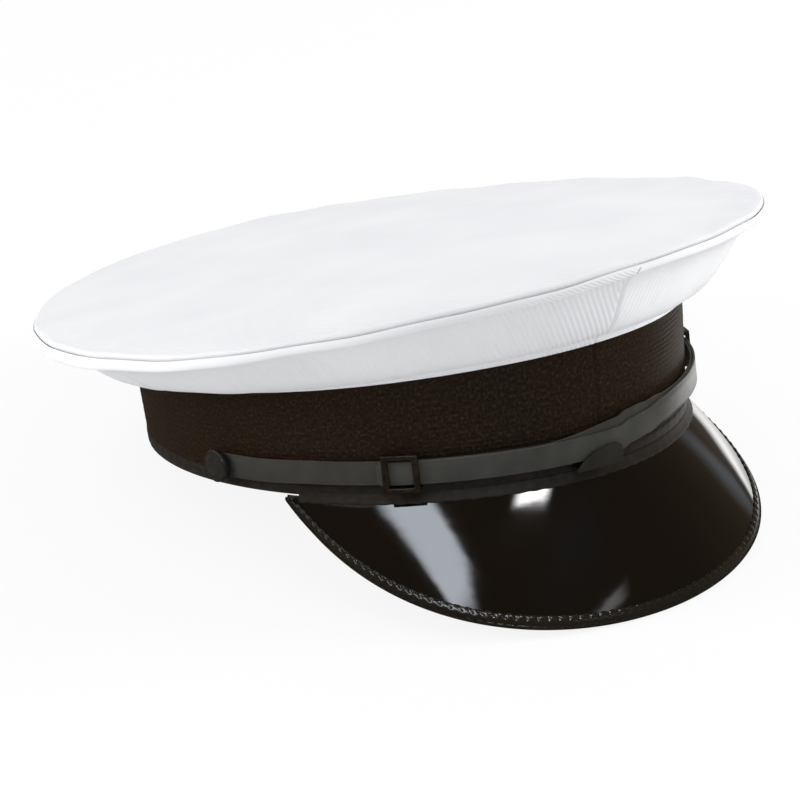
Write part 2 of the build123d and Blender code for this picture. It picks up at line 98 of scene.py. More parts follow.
FRONT_RADIUS, SIDE_RADIUS = solve_arc_radii()
FRONT_CENTRE = np.array([0, FRONT_RADIUS - BAND_HALF_LENGTH])
CORNER_CENTRE = FRONT_CENTRE + unit(FRONT_ARC_END) * (FRONT_RADIUS - CORNER_RADIUS)
SIDE_CENTRE = CORNER_CENTRE + unit(CORNER_ARC_END) * (CORNER_RADIUS - SIDE_RADIUS)


def wall(direction, offset=0.0, z=0.0):
    """Points on the band's plan outline, moved outwards by offset, for arrays of wall directions."""
    direction, offset, z = np.broadcast_arrays(np.asarray(direction, float), offset, z)
    direction = (direction + 180) % 360 - 180
    folded = np.abs(direction)
    quarter = np.minimum(folded, 180 - folded)
    front, corner = quarter <= FRONT_ARC_END, quarter <= CORNER_ARC_END
    radius = np.where(front, FRONT_RADIUS, np.where(corner, CORNER_RADIUS, SIDE_RADIUS)) + offset
    centre = np.where(front[..., None], FRONT_CENTRE,
                      np.where(corner[..., None], CORNER_CENTRE, SIDE_CENTRE))
    point = centre + unit(quarter) * radius[..., None]
    x = np.where(direction >= 0, point[..., 0], -point[..., 0])
    y = np.where(folded <= 90, point[..., 1], -point[..., 1])
    return np.stack([x, y, z + 0.0], -1)


def wall_direction(turn):
    a = np.radians(turn)
    return np.degrees(np.arctan2(BAND_HALF_LENGTH * np.sin(a), BAND_HALF_WIDTH * np.cos(a)))


def lean_at(z):
    return z * math.tan(math.radians(BAND_LEAN))


def band_top(y):
    middle = (BAND_FRONT_HEIGHT + BAND_BACK_HEIGHT) / 2
    return middle - (BAND_FRONT_HEIGHT - BAND_BACK_HEIGHT) / 2 * y / BAND_HALF_LENGTH


# --- meshes ---
def new_object(name, data):
    made = bpy.data.objects.new(name, data)
    bpy.context.scene.collection.objects.link(made)
    return made


def finish_mesh(name, mesh, crease):
    """Make the normals consistent, shade it smooth except at creases, and link it."""
    bm = bmesh.new()
    bm.from_mesh(mesh)
    bmesh.ops.recalc_face_normals(bm, faces=bm.faces)
    bm.to_mesh(mesh)
    bm.free()
    mesh.shade_smooth()
    mesh.set_sharp_from_angle(angle=math.radians(crease))
    return new_object(name, mesh)


def tube(name, rings, closed=False, crease=60):
    """Closed mesh through rings of points; each ring closes on itself and open ends are capped.

    Its UV map holds the distance along the tube and round the first ring, in metres."""
    rings = np.asarray(rings, float)
    n, m = rings.shape[:2]
    ids = np.arange(n * m).reshape(n, m)
    near = ids if closed else ids[:-1]
    far = np.roll(ids, -1, 0) if closed else ids[1:]
    faces = np.stack([near, np.roll(near, -1, 1), np.roll(far, -1, 1), far], -1).reshape(-1, 4).tolist()
    middle = rings[:, m // 2]
    steps = np.linalg.norm(np.diff(np.vstack([middle, middle[:1]]), axis=0), axis=1)
    along = np.concatenate([[0], np.cumsum(steps)])[:len(near) + 1] * MM
    ring = rings[n // 2]
    sides = np.linalg.norm(np.diff(np.vstack([ring, ring[:1]]), axis=0), axis=1)
    around = np.concatenate([[0], np.cumsum(sides)]) * MM
    u = np.broadcast_to(along[:, None], (len(along), m + 1))
    v = np.broadcast_to(around, (len(along), m + 1))
    corners = [(a[:-1, :-1], a[:-1, 1:], a[1:, 1:], a[1:, :-1]) for a in (u, v)]
    uv = np.stack([np.stack(c, -1) for c in corners], -1).reshape(-1, 2)
    if not closed:
        for end in (0, n - 1):
            for triangle in tessellate_polygon([[Vector(p) for p in rings[end]]]):
                faces.append([int(ids[end][k]) for k in triangle])
                uv = np.vstack([uv, [[along[end], around[k]] for k in triangle]])
    mesh = bpy.data.meshes.new(name)
    mesh.from_pydata((rings.reshape(-1, 3) * MM).tolist(), [], faces)
    mesh.uv_layers.new(name="UVMap").data.foreach_set("uv", uv.astype(np.float32).ravel())
    return finish_mesh(name, mesh, crease)


def grid_normals(grid):
    across = np.gradient(grid, axis=0)
    down = np.gradient(grid, axis=1)
    normal = np.cross(across, down)
    return normal / np.maximum(np.linalg.norm(normal, axis=-1, keepdims=True), 1e-9)


def shell(name, grid, relief, thickness, inner_rows, outward_hint, closed=False):
    """Cloth from a grid (columns, rows): relief stands out of the face, and thickness lies behind it."""
    normal = grid_normals(grid)
    if closed:
        normal = grid_normals(np.concatenate([grid[-3:], grid, grid[:3]]))[3:-3]
    mid = (grid.shape[0] // 2, grid.shape[1] // 2)
    if np.dot(normal[mid], outward_hint(grid[mid])) < 0:
        normal = -normal
    outer = grid + normal * relief[..., None]
    keep = np.unique(np.linspace(0, grid.shape[1] - 1, inner_rows).astype(int))[::-1]
    inner = (grid - normal * np.broadcast_to(thickness, grid.shape[:2])[..., None])[:, keep]
    return tube(name, np.concatenate([outer, inner], axis=1), closed, crease=75)


def softened(name, node, bevel, segments=2):
    """A new piece with a CAD node's shape and rounded edges; it stands for that node."""
    bm = bmesh.new()
    bm.from_mesh(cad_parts[node].data)
    bmesh.ops.remove_doubles(bm, verts=bm.verts, dist=0.00002)
    bmesh.ops.dissolve_limit(bm, angle_limit=math.radians(0.5), verts=bm.verts, edges=bm.edges)
    sharp = [e for e in bm.edges if len(e.link_faces) == 2 and e.calc_face_angle() > math.radians(35)]
    bmesh.ops.bevel(bm, geom=sharp, offset=bevel * MM, segments=segments, profile=0.5,
                    affect="EDGES", clamp_overlap=True)
    bmesh.ops.triangulate(bm, faces=bm.faces)
    mesh = bpy.data.meshes.new(name)
    bm.to_mesh(mesh)
    bm.free()
    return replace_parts(finish_mesh(name, mesh, 40), node)


def lathe(name, profile, side, segments=72):
    """Piece turned about a button's axis from (offset from the band's side, radius) pairs."""
    turns = np.linspace(0, 2 * np.pi, segments, endpoint=False)
    profile = np.asarray(profile, float)
    rings = [[(side * (BAND_HALF_WIDTH + x), BUTTON_Y + r * math.cos(a), BUTTON_Z + r * math.sin(a))
              for a in turns] for x, r in profile]
    return tube(name, rings, crease=45)


# --- materials ---
def add_node(tree, kind, settings=(), **inputs):
    """A shader node whose inputs are values, sockets or nodes; _0, _1 and so on are inputs by number."""
    made = tree.nodes.new("ShaderNode" + kind)
    for key, value in dict(settings).items():
        setattr(made, key, value)
    for key, value in inputs.items():
        socket = made.inputs[int(key[1:])] if key[1:].isdigit() else made.inputs[key.replace("_", " ")]
        if isinstance(value, bpy.types.Node):
            value = value.outputs[0]
        if isinstance(value, bpy.types.NodeSocket):
            tree.links.new(value, socket)
        else:
            socket.default_value = value
    return made


class Paint:
    """A node material: colour that drifts between tones, and relief from layered textures."""

    def __init__(self, name, roughness, **sockets):
        self.material = bpy.data.materials.new(name)
        self.material.use_nodes = True
        self.tree = self.material.node_tree
        self.bsdf = self.tree.nodes["Principled BSDF"]
        self.bsdf.inputs["Roughness"].default_value = roughness
        for socket, value in sockets.items():
            self.bsdf.inputs[socket.replace("_", " ")].default_value = value
        self.coordinates = self.tree.nodes.new("ShaderNodeTexCoord")
        self.relief = None

    def node(self, kind, settings=(), **inputs):
        return add_node(self.tree, kind, settings, **inputs)

    def place(self, space="Object", stretch=(1, 1, 1)):
        return self.node("Mapping", Vector=self.coordinates.outputs[space], Scale=stretch)

    def noise(self, size, space="Object", stretch=(1, 1, 1), detail=3.0, **inputs):
        where = self.place(space, stretch)
        return self.node("TexNoise", Vector=where, Scale=1 / (size * MM), Detail=detail, **inputs)

    def cells(self, size, space="Object", stretch=(1, 1, 1)):
        where = self.place(space, stretch)
        return self.node("TexVoronoi", Vector=where, Scale=1 / (size * MM))

    def lines(self, pitch, direction="X", space="UV", distortion=0.0):
        settings = {"bands_direction": direction}
        return self.node("TexWave", settings, Vector=self.place(space), Scale=math.pi / 10 / (pitch * MM),
                         Distortion=distortion, Detail=2.0, Detail_Scale=3.0)

    def ramp(self, value, stops):
        ramp = self.node("ValToRGB", Fac=value)
        elements = ramp.color_ramp.elements
        for _ in range(len(stops) - 2):
            elements.new(0.5)
        for element, (position, colour) in zip(elements, stops):
            element.position = position
            element.color = (*colour, 1)
        return ramp.outputs[0]

    def colour(self, value, stops):
        self.tree.links.new(self.ramp(value, stops), self.bsdf.inputs["Base Color"])
        return self

    def gloss(self, value, low, high):
        span = self.node("MapRange", Value=value, To_Min=low, To_Max=high).outputs[0]
        self.tree.links.new(span, self.bsdf.inputs["Roughness"])
        return self

    def bump(self, height, depth, strength=1.0):
        """Add relief of that depth in millimetres."""
        inputs = {"Height": height, "Distance": depth * MM, "Strength": strength}
        if self.relief is not None:
            inputs["Normal"] = self.relief
        self.relief = self.node("Bump", **inputs).outputs[0]
        self.tree.links.new(self.relief, self.bsdf.inputs["Normal"])
        return self


def white_cloth(name, tones=(0.80, 0.85), space="UV"):
    p = Paint(name, 0.85, Sheen_Weight=0.12, Sheen_Roughness=0.5, Specular_IOR_Level=0.25)
    low, high = tones
    p.colour(p.noise(40), [(0.3, (low, low, low * 1.02)), (0.7, (high, high, high * 1.01))])
    p.bump(p.lines(0.42, "Y", space), 0.02, 0.6)
    p.bump(p.noise(0.35, detail=4), 0.03, 0.5)
    return p.material


def make_mohair():
    p = Paint("mohair", 0.62, Specular_IOR_Level=0.16, Sheen_Weight=0.05, Sheen_Roughness=0.35,
              Sheen_Tint=(0.75, 0.72, 0.62, 1))
    fleck = p.noise(0.55, "UV", (0.6, 1, 1), 4)
    p.colour(fleck, [(0.40, (0.012, 0.0055, 0.0015)), (0.56, (0.021, 0.0115, 0.005)),
                     (0.74, (0.045, 0.029, 0.015))])
    p.bump(p.lines(0.75, "Y", distortion=1.5), 0.15, 0.5)
    p.bump(p.noise(0.4, "UV", (0.5, 1, 1), 5), 0.2, 0.6)
    return p.material


def make_binding():
    p = Paint("binding", 0.55, Specular_IOR_Level=0.3, Sheen_Weight=0.05)
    p.colour(p.noise(3, "UV"), [(0.35, (0.012, 0.0085, 0.006)), (0.7, (0.022, 0.017, 0.013))])
    p.bump(p.lines(0.5, "X"), 0.04, 0.6)
    p.bump(p.noise(0.4), 0.05, 0.5)
    return p.material


def make_patent(name, base, roughness):
    p = Paint(name, roughness, Coat_Weight=0.35, Coat_Roughness=0.02, Coat_IOR=1.45, Specular_IOR_Level=0.42)
    p.colour(p.noise(30), [(0.3, base), (0.7, tuple(c * 1.6 for c in base))])
    p.gloss(p.noise(9, detail=5), roughness * 0.7, roughness * 1.5)
    p.bump(p.noise(7, detail=1), 0.07, 0.4)
    p.bump(p.noise(0.9, detail=3), 0.006, 0.4)
    return p.material


def make_leather(name, tones, roughness, grain=0.55, depth=0.05, **sockets):
    p = Paint(name, roughness, **sockets)
    p.colour(p.noise(8, detail=6), [(0.3, tones[0]), (0.7, tones[1])])
    p.gloss(p.noise(2.5, detail=5), roughness * 0.85, roughness * 1.2)
    p.bump(p.cells(grain), depth, 0.5)
    p.bump(p.noise(0.25, detail=4), depth * 0.5, 0.4)
    return p.material


def make_metal(name, tones, roughness):
    p = Paint(name, roughness, Metallic=1.0)
    p.colour(p.noise(2.2, detail=6), [(0.35, tones[0]), (0.7, tones[1])])
    p.gloss(p.noise(0.9, stretch=(1, 6, 1), detail=6), roughness * 0.7, roughness * 1.35)
    p.bump(p.noise(0.3, stretch=(1, 8, 1)), 0.01, 0.4)
    return p.material


def make_woven(name, tones, pitch, roughness=0.9):
    p = Paint(name, roughness, Specular_IOR_Level=0.25)
    threads = p.node("Math", {"operation": "MAXIMUM"}, _0=p.lines(pitch, "X", "Object"),
                     _1=p.lines(pitch, "Z", "Object"))
    p.colour(p.noise(6, detail=5), [(0.3, tones[0]), (0.7, tones[1])])
    p.bump(threads, 0.15, 0.6)
    p.bump(p.noise(0.4), 0.06, 0.5)
    return p.material


def make_board(name, tones):
    p = Paint(name, 0.8, Specular_IOR_Level=0.25)
    p.colour(p.noise(1.2, detail=6), [(0.35, tones[0]), (0.68, tones[1])])
    p.bump(p.noise(0.5, detail=5), 0.08, 0.5)
    return p.material


def make_plastic(name, tones, roughness):
    p = Paint(name, roughness)
    p.colour(p.noise(6, detail=4), [(0.3, tones[0]), (0.7, tones[1])])
    p.gloss(p.noise(1.5, detail=5), roughness * 0.8, roughness * 1.3)
    p.bump(p.noise(0.8, detail=3), 0.01, 0.4)
    return p.material


TWILL = white_cloth("white_twill")
# The top's twill is a darker copy of the side panels' white twill: painted shade on the top.
TOP_TWILL_SHADED = white_cloth("white_twill_top_shaded", (0.765, 0.815), "Object")
# The rim cord is the white cloth made grey: painted shade in the rim seam's groove.
WELT_SHADED = white_cloth("white_welt", (0.62, 0.70))
PILE = make_mohair()
BINDING = make_binding()
PATENT = make_patent("patent", (0.0022, 0.0012, 0.0007), 0.06)
PATENT_EDGE = make_patent("patent_binding", (0.008, 0.0065, 0.0045), 0.16)
UNDERSIDE = make_leather("visor_under", [(0.02, 0.05, 0.03), (0.03, 0.07, 0.045)], 0.6, 0.8, 0.1)
STRAP = make_leather("strap_leather", [(0.038, 0.038, 0.034), (0.054, 0.054, 0.048)], 0.36, 0.35, 0.015,
                     Specular_IOR_Level=0.5)
# Darker copy of the strap leather for the inner strap: painted shade where it lies behind the outer strap.
STRAP_INNER_SHADED = make_leather("strap_inner_shaded", [(0.032, 0.031, 0.027), (0.045, 0.043, 0.037)], 0.45, 0.4, 0.02)
TAB = make_leather("tab_leather", [(0.014, 0.0135, 0.011), (0.022, 0.021, 0.017)], 0.4, 0.35, 0.015)
SWEAT = make_leather("sweat_leather", [(0.17, 0.085, 0.045), (0.26, 0.14, 0.08)], 0.5, 0.9, 0.08)
THREAD = make_plastic("thread", [(0.007, 0.006, 0.005), (0.016, 0.014, 0.012)], 0.45)
BUTTON = make_plastic("button_black", [(0.014, 0.0135, 0.012), (0.024, 0.023, 0.020)], 0.28)
GUNMETAL = make_metal("gunmetal", [(0.085, 0.072, 0.058), (0.14, 0.12, 0.10)], 0.42)
STEEL = make_metal("spring_steel", [(0.42, 0.42, 0.43), (0.6, 0.6, 0.6)], 0.3)
EYELET = make_metal("eyelet_metal", [(0.10, 0.09, 0.08), (0.17, 0.15, 0.13)], 0.35)
BUCKRAM = make_woven("buckram", [(0.50, 0.46, 0.38), (0.60, 0.56, 0.47)], 0.9)
TAPE = make_woven("lining_tape", [(0.03, 0.03, 0.03), (0.06, 0.06, 0.06)], 0.6)
BOARD = make_board("stiffener", [(0.16, 0.13, 0.10), (0.30, 0.25, 0.19)])
CORE_BOARD = make_board("visor_board", [(0.015, 0.013, 0.012), (0.04, 0.035, 0.03)])
HOOP = make_plastic("hoop_plastic", [(0.55, 0.55, 0.53), (0.68, 0.68, 0.66)], 0.35)


def put(piece, body, material, slot, *replaced):
    """Paint a piece, let it ride on a body, and say what it stands for."""
    if material is not None:
        piece.data.materials.clear()
        piece.data.materials.append(material)
    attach(piece, body)
    if replaced:
        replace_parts(piece, *replaced)
    return piece


# --- cover ---
RIB_PITCH, RIB_RELIEF, RIB_LOSS = 1.85, 0.48, 0.72
RIBS_MIDDLE, RIBS_FULL, RIBS_FADE = -8, 4, 24   # the front ribs are deepest at this turn, and fade away
RIM_RUN, FOOT_LOSS, RIB_FAN = 197, 44, 0.65     # a quarter's run at the rim, its loss to the foot, fanning
PANEL_COLUMNS, QUARTER = 560, 90
SEAM_WIDTH, SEAM_DEPTH, THIN = 1.4, 0.7, 0.35   # groove at a seam, and the cloth's thickness at its edges
ROLL = (np.array([0.25, -1.75]), np.array([ROLL_OUT, -(0.95 + ROLL_DROP) / 2]), np.array([0.2, -ROLL_DROP]))
SEAM_AT_RIM, SEAM_AT_FOOT = -0.2, -3.4      # turn of the front seam, which slants
RIGHT_MIDDLE, RIGHT_LIFT, RIGHT_ROLL = -112, 1.0, 0.6     # the rim is higher and its roll deeper here
SKIRT = 2.35                                # length of cloth that lies down over the band's edge
TOP_CROWN, TOP_EDGE = 2.6, 1.1              # rise of the top's middle, and radius of its turned edge


def circle_through(a, b, c):
    """Centre, radius and first and last angle of the arc through three points."""
    rows = np.array([b - a, c - a])
    centre = np.linalg.solve(rows, [(b @ b - a @ a) / 2, (c @ c - a @ a) / 2])
    first, last = (math.atan2(*(p - centre)[::-1]) for p in (a, c))
    return centre, np.linalg.norm(a - centre), first, last


ROLL_CENTRE, ROLL_RADIUS, ROLL_FIRST, ROLL_LAST = circle_through(*ROLL)


def rim_wobble(turn):
    """How far the sewn rim wanders up and down."""
    a = np.radians(turn)
    waves = 0.16 * np.sin(7 * a + 0.6) + 0.12 * np.sin(13 * a + 2.1) + 0.10 * np.sin(23 * a + 4.0)
    lift = RIGHT_LIFT * bump_at(turn, RIGHT_MIDDLE, 25) + 0.8 * bump_at(turn, 68, 30)
    dents = 0.5 * (bump_at(turn, 83, 4) - bump_at(turn, 75, 5) + bump_at(turn, -118, 5))
    return waves + lift + dents


def rim_point(turn):
    """Points of the rim seam: a tilted oval whose sides hang."""
    turn = (np.asarray(turn, float) + 180) % 360 - 180
    a, tilt = np.radians(turn), math.radians(RIM_TILT)
    z = (RIM_CENTRE_Z + RIM_HALF_LENGTH * np.cos(a) * math.sin(tilt) - RIM_DROOP * np.sin(a) ** 2
         + RIM_LIST * np.sin(a) + rim_wobble(turn))
    y = RIM_CENTRE_Y - RIM_HALF_LENGTH * np.cos(a) * math.cos(tilt)
    return np.stack([RIM_HALF_WIDTH * np.sin(a), y, z], -1)


class CoverSection:
    """Upright planes through the rim and the foot of the cover, for an array of turns."""

    def __init__(self, turn):
        self.rim = rim_point(turn)
        self.direction = wall_direction(turn)
        foot = wall(self.direction)
        height = band_top(foot[..., 1]) + HEM_GAP + HEM_HEIGHT
        foot = wall(self.direction, lean_at(height) + 0.25, height)
        level = (self.rim - foot)[..., :2]
        self.run = np.linalg.norm(level, axis=-1)
        self.outward = level / self.run[..., None]
        self.fall = foot[..., 2] - self.rim[..., 2]
        self.deeper = 1 + RIGHT_ROLL * bump_at((np.asarray(turn) + 180) % 360 - 180, RIGHT_MIDDLE, 38)
        self.drop = (ROLL_DROP + ROLL[0][1]) * self.deeper - ROLL[0][1]

    def point(self, s, z):
        flat = self.rim[..., :2] + self.outward * np.asarray(s)[..., None]
        return np.concatenate([flat, (self.rim[..., 2] + z)[..., None]], -1)

    def tuck(self, place):
        return self.point(np.full(self.run.shape, place[0]), place[1])

    def roll(self, share):
        a = ROLL_FIRST + (ROLL_LAST - ROLL_FIRST) * share
        s = np.full(self.run.shape, ROLL_CENTRE[0] + ROLL_RADIUS * math.cos(a))
        down = ROLL_CENTRE[1] + ROLL_RADIUS * math.sin(a) - ROLL[0][1]
        return self.point(s, down * self.deeper + ROLL[0][1])

    def panel(self, share):
        run, fall = -self.run - ROLL[2][0], self.fall + self.drop
        length = np.hypot(run, fall)
        bow = 13.5 * share * (1 - share) * (PANEL_HOLLOW * (2 / 3 - share) - PANEL_BULGE * (share - 1 / 3))
        return self.point(ROLL[2][0] + run * share + fall / length * bow,
                          fall * share - self.drop - run / length * bow)

    def skirt(self, down):
        z = self.rim[..., 2] + self.fall - down
        return wall(self.direction, lean_at(z) + 0.25 + 0.2 * smooth(down / 1.5), z)


TUCK = [(-0.75, -2.5), (-0.25, -2.1)]
COVER_ROWS = ([("tuck", place) for place in TUCK] + [("roll", v) for v in np.linspace(0, 1, 17)]
              + [("panel", v) for v in np.linspace(0, 1, 35)[1:]]
              + [("skirt", v) for v in np.linspace(0, SKIRT, 6)[1:]])


def side_panel(label, start):
    """One quarter of the side of the cover: ribbed cloth that wraps the hoop and runs to the band."""
    share = np.linspace(0, 1, PANEL_COLUMNS)
    down = np.linspace(0, 1, len(COVER_ROWS))
    grid, phase, fading = [], [], []
    for (kind, value), v in zip(COVER_ROWS, down):
        seam_turn = SEAM_AT_RIM + (SEAM_AT_FOOT - SEAM_AT_RIM) * v
        first = seam_turn if label == "front_left" else start
        last = seam_turn + 360 if label == "front_right" else start + QUARTER
        turn = first + (last - first) * share
        section = CoverSection(turn)
        grid.append(getattr(section, kind)(value))
        across = (RIM_RUN - FOOT_LOSS * v) * np.sin(np.radians(RIB_FAN * (turn - start - QUARTER / 2)))
        phase.append(across / RIB_PITCH)
        away = np.abs((turn - RIBS_MIDDLE + 180) % 360 - 180)
        faded = smooth((away - RIBS_FULL) / RIBS_FADE)
        fading.append(faded if label == "front_right" else np.ones(PANEL_COLUMNS))
    grid, phase, fading = np.stack(grid, 1), np.stack(phase, 1), np.stack(fading, 1)
    ribs = (0.5 + 0.5 * np.cos(2 * np.pi * phase)) ** 0.8
    inside = smooth((down - 0.06 - 0.26 * fading) / 0.12) * smooth((1.03 - down) / 0.03)
    from_seam = np.minimum(share, 1 - share) * 200
    seam = smooth(from_seam / SEAM_WIDTH)[:, None]
    slack = (0.30 * np.sin(19 * share[:, None] + 3 * down + start)
             + 0.22 * np.sin(37 * share[:, None] - 5 * down + 2 * start)) * np.sin(np.pi * down) ** 0.7
    ridges = RIB_RELIEF * (1 - RIB_LOSS * fading) * (ribs - 0.5) * seam
    relief = (ridges - SEAM_DEPTH * (1 - seam)) * inside + 0.5 * slack
    thickness = THIN + (CLOTH - THIN) * smooth(np.minimum(down, 1 - down) / 0.08)
    piece = shell(f"side_panel_{label}", grid, relief, thickness, 12, lambda p: p * (1, 1, 0))
    put(piece, "cover", TWILL, "white_twill", f"quarter_{label}")


def top_panel():
    """Top of the cover: ribbed cloth drawn over the hoop, turned down at its edge into the rim seam."""
    # p runs across the ribs and q along them: each column of the grid is a chord of the rim's oval.
    columns, rows, pitch, slant = 640, 60, 2.1, math.radians(-16)
    a, b = RIM_HALF_WIDTH - 0.3, (RIM_HALF_LENGTH - 0.3) * math.cos(math.radians(RIM_TILT))
    along = np.array([math.sin(slant), math.cos(slant)])
    across = np.array([along[1], -along[0]])
    reach = math.hypot(a * across[0], b * across[1])
    p = reach * np.sin(np.linspace(-1, 1, columns) * np.pi / 2 * 0.97) / math.sin(np.pi / 2 * 0.97)
    p[0], p[-1] = p[0] * 0.9998, p[-1] * 0.9998
    k = (along[0] / a) ** 2 + (along[1] / b) ** 2
    m = p * (across[0] * along[0] / a ** 2 + across[1] * along[1] / b ** 2)
    c = (p ** 2) * ((across[0] / a) ** 2 + (across[1] / b) ** 2) - 1
    half = np.sqrt(np.maximum(m * m - k * c, 0)) / k
    q = -m[:, None] / k + half[:, None] * np.sin(np.linspace(-1, 1, rows) * np.pi / 2)
    x = p[:, None] * across[0] + q * along[0]
    y = p[:, None] * across[1] + q * along[1]
    rho = np.clip(np.hypot(x / a, y / b), 0, 1)
    turn = np.degrees(np.arctan2(x / a, -y / b))
    side = x / RIM_HALF_WIDTH
    z = (RIM_CENTRE_Z - y * math.tan(math.radians(RIM_TILT)) - RIM_DROOP * side ** 2 + RIM_LIST * side
         + rim_wobble(turn) * smooth((rho - 0.75) / 0.25) + TOP_CROWN * (1 - rho ** 2))
    inset = (1 - rho) * RIM_HALF_WIDTH
    edge = np.clip(inset, 0, TOP_EDGE)
    z = z - TOP_EDGE + np.sqrt(np.maximum(TOP_EDGE ** 2 - (TOP_EDGE - edge) ** 2, 0))
    gathers = np.sin(np.radians(turn) * 31 + 1.3 * np.sin(np.radians(turn) * 5))
    pucker = 0.22 * gathers * bump_at(rho, 0.975, 0.02)
    grid = np.stack([x, y + RIM_CENTRE_Y, z + pucker], -1)
    ribs = (0.5 + 0.5 * np.cos(2 * np.pi * p[:, None] / pitch)) ** 0.8
    relief = (0.09 + 0.16 * bump_at(rho, 0.97, 0.09)) * (ribs - 0.5) * smooth(inset / 2.5)
    piece = shell("top_panel", grid, relief, CLOTH, 12, lambda _: np.array([0, 0, 1]))
    # The top wears the darker copy of the twill, painted shade.
    put(piece, "cover", TOP_TWILL_SHADED, "white_twill", "crown_top")


def ellipse_profile(width, height, centre=(0, 0), count=14):
    a = np.linspace(0, 2 * np.pi, count, endpoint=False)
    return np.stack([centre[0] + width / 2 * np.cos(a), centre[1] + height / 2 * np.sin(a)], -1)


def rim_cord():
    """Cord sewn into the rim seam, sunk between the top and the side panels; its greyed cloth is painted
    shade in the groove.
    """
    turn = np.arange(0, 360, 0.5)
    section = CoverSection(turn)
    twist = 0.05 * np.sin(2 * np.pi * turn * 1.1)
    profile = ellipse_profile(1.1, 1.3, (-0.75, -1.45)) + twist[:, None, None]
    rings = np.repeat(section.rim[:, None], profile.shape[1], axis=1)
    rings[..., :2] += section.outward[:, None] * profile[..., :1]
    rings[..., 2] += profile[..., 1]
    put(tube("rim_piping", rings, closed=True), "cover", WELT_SHADED, "white_welt", "rim_welt")


def wall_ring(name, profile_at, step=1.0):
    """Closed ring on the band's wall; profile_at gives (offset, height) pairs at a turn's wall point."""
    turn = np.arange(0, 360, step)
    direction = wall_direction(turn)
    y = wall(direction)[:, 1]
    profile = np.stack([profile_at(t, yy) for t, yy in zip(turn, y)])
    return tube(name, wall(direction[:, None], lean_at(profile[..., 1]) + profile[..., 0], profile[..., 1]),
                closed=True)


def hem_ring():
    """Folded hem behind the foot of the side panels."""
    def profile(turn, y):
        low, high = band_top(y) + HEM_GAP, band_top(y) + HEM_GAP + HEM_HEIGHT - 0.3
        stitch = 0.05 * math.sin(turn * 2.4)
        return np.array([(-0.15 + stitch, low + 0.3), (-0.15 + stitch, high - 0.2), (-0.4, high),
                         (-0.9, high), (-1.05, high - 0.3), (-1.05, low + 0.3), (-0.9, low), (-0.3, low)])
    put(wall_ring("cover_hem_fold", profile), "cover", TWILL, "white_twill", "cover_hem")


# --- band ---
def mohair_ring():
    """Ribbed, uneven pile of the band's ribbon, with its sewn join near the front."""
    columns, rows, seam, rib_pitch = 880, 84, -4.0, 1.5
    join_depth, join_width, per_degree = 0.45, 0.55, 1.75      # mm, mm, and mm of wall in a degree of turn
    turn = np.linspace(0, 360, columns, endpoint=False) + seam
    share = np.linspace(0, 1, rows)
    direction = wall_direction(turn)
    y = wall(direction)[:, 1]
    low, high = BINDING_HEIGHT + 0.3, band_top(y)
    z = low + (high - low)[:, None] * share
    grid = wall(direction[:, None], lean_at(z), z)
    ribs = np.abs(np.sin(np.pi * z / rib_pitch))
    drift = 0.5 + 0.5 * np.sin(turn[:, None] * 2.1 + 4 * np.sin(z * 0.7) + 3 * np.sin(turn[:, None] * 0.31))
    pile = rng.normal(0, 0.03, z.shape)
    from_join = ((turn - seam + 180) % 360 - 180)[:, None] * per_degree
    join = join_depth * bump_at(from_join, 0, join_width)
    relief = -0.22 + 0.14 * ribs * (0.6 + 0.4 * drift) + pile * 0.8 - join
    relief = relief * smooth(share / 0.02 + 0.2) * smooth((1 - share) / 0.02 + 0.2) - 0.02
    piece = shell("mohair_ribbon", grid, relief, MOHAIR * 0.85, 3, lambda p: p * (1, 1, 0), closed=True)
    put(piece, "frame", PILE, "mohair", "mohair_band")


def base_binding_ring():
    """Binding folded over the band's lower edge: its outside, its foot, and the lip behind."""
    def profile(turn, y):
        w = 0.05 * math.sin(turn * 1.7) + 0.03 * math.sin(turn * 4.3)
        return np.array([(-0.25, 5.0), (-0.02 + w, 4.6), (0.1 + w, 3.8), (0.16 + w, 2.6), (0.12 + w, 1.4),
                         (-0.02 + w, 0.55), (-0.35, 0.12), (-0.9, 0.0), (-2.7, 0.0), (-3.05, 0.25),
                         (-3.0, 0.6), (-2.6, 0.78), (-1.5, 0.8), (-1.25, 1.1), (-1.2, 4.7), (-0.9, 5.0)])
    put(wall_ring("band_edge_binding", profile, 0.5), "frame", BINDING, "binding", "base_binding")


def sweatband_ring():
    """Leather that lies against the head, wavy between its edges, with a stitched groove near its foot."""
    share = np.linspace(0, 1, 26)

    def profile(turn, y):
        low, high = SWEATBAND_LOW, band_top(y) - SWEATBAND_BELOW_TOP
        z = low + (high - low) * share
        ease = np.sin(np.pi * share) ** 0.8
        w = (0.35 * math.sin(math.radians(turn) * 9) + 0.25 * math.sin(math.radians(turn) * 17 + 1)) * ease
        inner = SWEATBAND_IN + w - 0.5 * smooth((share - 0.9) / 0.1)
        outer = inner + 1.0 - 0.5 * smooth((share - 0.93) / 0.07) - 0.5 * smooth((0.07 - share) / 0.07)
        groove = -0.22 * bump_at(z, low + SWEATBAND_STITCH, 0.35)
        return np.concatenate([np.stack([inner - groove, z], -1), np.stack([outer, z], -1)[::-1]])
    piece = put(wall_ring("sweatband_leather", profile, 0.75), "frame", SWEAT, "sweat_leather", "sweatband")


def reed_ring():
    """Covered cord sewn along the foot of the sweatband, nipped at each stitch."""
    def profile(turn, y):
        squeeze = 0.10 * abs(math.sin(math.radians(turn) * 70))
        return ellipse_profile(REED_WIDTH - squeeze, REED_HEIGHT - squeeze, REED_PLACE, 12)
    put(wall_ring("sweatband_piping", profile, 0.5), "frame", SWEAT, "reed", "sweatband_reed")


